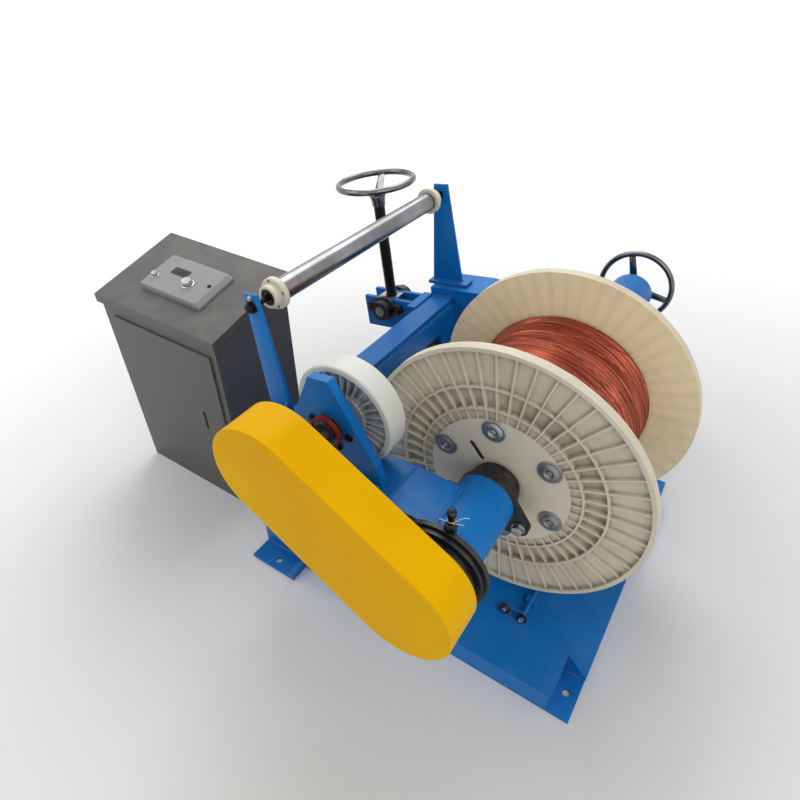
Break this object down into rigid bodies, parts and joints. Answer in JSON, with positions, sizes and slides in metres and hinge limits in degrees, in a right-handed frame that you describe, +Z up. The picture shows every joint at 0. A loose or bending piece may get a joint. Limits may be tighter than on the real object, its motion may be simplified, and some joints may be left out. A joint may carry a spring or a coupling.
{
  "type": "wire spool pay-off stand",
  "caption": "Floor-standing pay-off stand: a belt-braked spindle holds a copper wire spool between swinging arms, with a handwheel lift, guide roller and control console.",
  "frame": {"origin": "on the floor, midway between the two anchor holes of the rear channel", "axes": "+Z up; +Y along the spool's axis, away from the belt side; +X from the pivot side to the spool side"},
  "size_m": [1.429, 1.396, 0.7796],
  "materials": {
    "blue_paint": "gloss enamel, scuffed",
    "grey_paint": "textured powder coat",
    "black_iron": "black paint, satin",
    "machined_steel": "turned",
    "chrome_wheel": "polished",
    "black_screw": "blackened and greased",
    "yellow_paint": "gloss enamel",
    "white_paint": "satin",
    "cast_aluminium": "cast",
    "red_paint": "satin",
    "pulley_aluminium": "turned",
    "belt_rubber": "matt",
    "spool_plastic": "moulded, cream",
    "copper": "bright drawn copper wire",
    "washer_steel": "zinc plated",
    "cream_nylon": "satin",
    "panel_aluminium": "brushed"
  },
  "bodies": {
    "base": {"base_rear_channel": "blue_paint", "rear_anchor_feet": "blue_paint", "base_rails": "blue_paint", "base_deck_plate": "blue_paint", "base_corner_pockets": "blue_paint", "pivot_stands": "blue_paint", "pivot_pillow_blocks": "black_iron", "screw_foot_bracket": "blue_paint", "spool_stop_blocks": "blue_paint", "spool_stop_bar": "machined_steel", "spool_stop_roller": "machined_steel", "console_body": "grey_paint", "console_lid": "grey_paint", "console_door": "grey_paint", "control_panel": "panel_aluminium", "panel_knobs": "chrome_wheel"},
    "swing_frame": {"cross_beam": "blue_paint", "beam_face_plate": "blue_paint", "pivot_lugs": "blue_paint", "pivot_shaft": "machined_steel", "near_arm": "blue_paint", "far_arm": "blue_paint", "lever_plates": "blue_paint", "lever_tie_plate": "blue_paint", "trunnion_bearings": "black_iron", "near_spindle_tube": "blue_paint", "near_bearing_cap": "black_iron", "grease_fitting": "machined_steel", "near_flange_bearing": "black_iron", "drive_belt": "belt_rubber", "belt_guard": "yellow_paint", "guard_bracket": "blue_paint", "brake_mount_plate": "blue_paint", "far_spindle_tube": "blue_paint", "roller_posts": "blue_paint", "roller_axle": "black_screw"},
    "spool_and_spindle": {"near_spindle": "machined_steel", "spindle_pulley": "black_iron", "spool_flanges": "spool_plastic", "spool_barrel": "spool_plastic", "copper_wire": "copper", "spool_washers": "washer_steel"},
    "brake_rotor": {"brake_shaft": "machined_steel", "brake_pulley": "pulley_aluminium", "brake_drum": "white_paint", "brake_fins": "cast_aluminium", "brake_ring": "red_paint"},
    "far_quill": {"far_quill": "machined_steel"},
    "live_centre": {"far_live_centre": "machined_steel"},
    "far_feed": {"far_handwheel": "chrome_wheel"},
    "guide_roller": {"guide_roller_tube": "machined_steel", "guide_roller_flanges": "cream_nylon"},
    "lift_nut": {"lift_nut": "machined_steel"},
    "screw_foot": {"screw_foot": "machined_steel"},
    "lift_screw": {"lift_screw": "black_screw", "lift_handwheel": "chrome_wheel"}
  },
  "joints": [
    {"name": "arm_swing", "type": "hinge", "parent": "base", "child": "swing_frame", "pos_m": [0.0398, 0, 0.3181], "axis": [0, -1, 0], "range_deg": [-4, 8]},
    {"name": "spindle_spin", "type": "hinge", "parent": "swing_frame", "child": "spool_and_spindle", "pos_m": [0.49301, -0.21, 0.42001], "axis": [0, 1, 0], "continuous": true},
    {"name": "brake_spin", "type": "hinge", "parent": "swing_frame", "child": "brake_rotor", "pos_m": [0.21815, -0.52, 0.57933], "axis": [0, 1, 0], "continuous": true},
    {"name": "far_wheel_turn", "type": "hinge", "parent": "swing_frame", "child": "far_feed", "pos_m": [0.49301, 0.75, 0.42001], "axis": [0, 1, 0], "range_deg": [0, 5760]},
    {"name": "quill_slide", "type": "slide", "parent": "swing_frame", "child": "far_quill", "axis": [0, 1, 0], "range_m": [0, 0.08]},
    {"name": "live_centre_spin", "type": "hinge", "parent": "far_quill", "child": "live_centre", "pos_m": [0.49301, 0.18, 0.42001], "axis": [0, 1, 0], "continuous": true},
    {"name": "guide_roller_spin", "type": "hinge", "parent": "swing_frame", "child": "guide_roller", "pos_m": [-0.01689, 0.04, 0.73126], "axis": [0, 1, 0], "continuous": true},
    {"name": "nut_tilt", "type": "hinge", "parent": "swing_frame", "child": "lift_nut", "pos_m": [-0.12784, 0.305, 0.39112], "axis": [0, -1, 0], "range_deg": [-6, 3]},
    {"name": "foot_tilt", "type": "hinge", "parent": "base", "child": "screw_foot", "pos_m": [-0.08468, 0.305, 0.10233], "axis": [0, -1, 0], "range_deg": [-1.5, 3]},
    {"name": "screw_turn", "type": "hinge", "parent": "screw_foot", "child": "lift_screw", "pos_m": [-0.08468, 0.305, 0.10233], "axis": [-0.1478, 0, 0.989], "range_deg": [-659.1, 1317.1]}
  ],
  "couplings": [
    {"joint": "brake_spin", "follows": "spindle_spin", "ratio": 1.1159},
    {"joint": "live_centre_spin", "follows": "spindle_spin", "ratio": 1},
    {"joint": "quill_slide", "follows": "far_wheel_turn", "m_per_rad": 0.00079577},
    {"joint": "nut_tilt", "follows": "arm_swing", "ratio": -0.675},
    {"joint": "foot_tilt", "follows": "arm_swing", "ratio": 0.325},
    {"joint": "screw_turn", "follows": "arm_swing", "ratio": 164.51}
  ]
}
